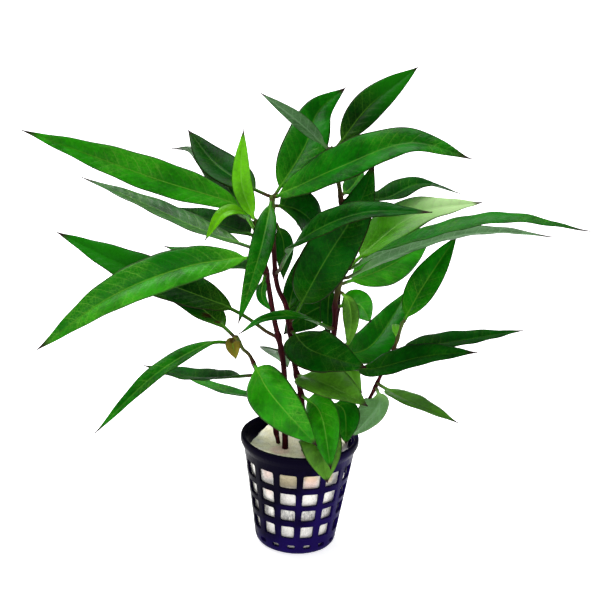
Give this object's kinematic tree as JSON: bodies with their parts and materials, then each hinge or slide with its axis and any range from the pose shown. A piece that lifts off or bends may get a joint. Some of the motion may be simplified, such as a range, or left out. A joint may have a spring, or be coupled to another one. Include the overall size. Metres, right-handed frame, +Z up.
{
  "type": "potted hygrophila",
  "caption": "Potted water plant: long pointed leaves on dark upright stems, rooted in a rockwool plug in a round black net pot that stands flat.",
  "frame": {"origin": "centre of the pot's underside, on the surface it stands on", "axes": "+Z up along the pot's axis, -Y towards the plant's front, +X to the viewer's right"},
  "size_m": [0.2191, 0.1082, 0.1991],
  "materials": {
    "net_pot": "satin",
    "rockwool": "matte",
    "stem": "satin",
    "leaf": "satin"
  },
  "bodies": {
    "root": {"leaf_back_1": "leaf", "leaf_back_2": "leaf", "leaf_back_3": "leaf", "leaf_back_4": "leaf", "leaf_back_5": "leaf", "leaf_left_1": "leaf", "leaf_left_10": "leaf", "leaf_left_11": "leaf", "leaf_left_12": "leaf", "leaf_left_2": "leaf", "leaf_left_3": "leaf", "leaf_left_4": "leaf", "leaf_left_5": "leaf", "leaf_left_6": "leaf", "leaf_left_7": "leaf", "leaf_left_8": "leaf", "leaf_left_9": "leaf", "leaf_left_shoot_1": "leaf", "leaf_left_shoot_2": "leaf", "leaf_left_shoot_3": "leaf", "leaf_left_shoot_4": "leaf", "leaf_left_shoot_5": "leaf", "leaf_middle_1": "leaf", "leaf_middle_10": "leaf", "leaf_middle_11": "leaf", "leaf_middle_12": "leaf", "leaf_middle_13": "leaf", "leaf_middle_2": "leaf", "leaf_middle_3": "leaf", "leaf_middle_4": "leaf", "leaf_middle_5": "leaf", "leaf_middle_6": "leaf", "leaf_middle_7": "leaf", "leaf_middle_8": "leaf", "leaf_middle_9": "leaf", "leaf_right_1": "leaf", "leaf_right_10": "leaf", "leaf_right_11": "leaf", "leaf_right_12": "leaf", "leaf_right_2": "leaf", "leaf_right_3": "leaf", "leaf_right_4": "leaf", "leaf_right_5": "leaf", "leaf_right_6": "leaf", "leaf_right_7": "leaf", "leaf_right_8": "leaf", "leaf_right_9": "leaf", "leaf_right_shoot_1": "leaf", "leaf_right_shoot_2": "leaf", "leaf_right_shoot_3": "leaf", "leaf_right_shoot_4": "leaf", "leaf_right_shoot_5": "leaf", "net_pot": "net_pot", "rockwool_plug": "rockwool", "stem_back": "stem", "stem_left": "stem", "stem_left_shoot": "stem", "stem_middle": "stem", "stem_right": "stem", "stem_right_shoot": "stem"}
  },
  "joints": []
}
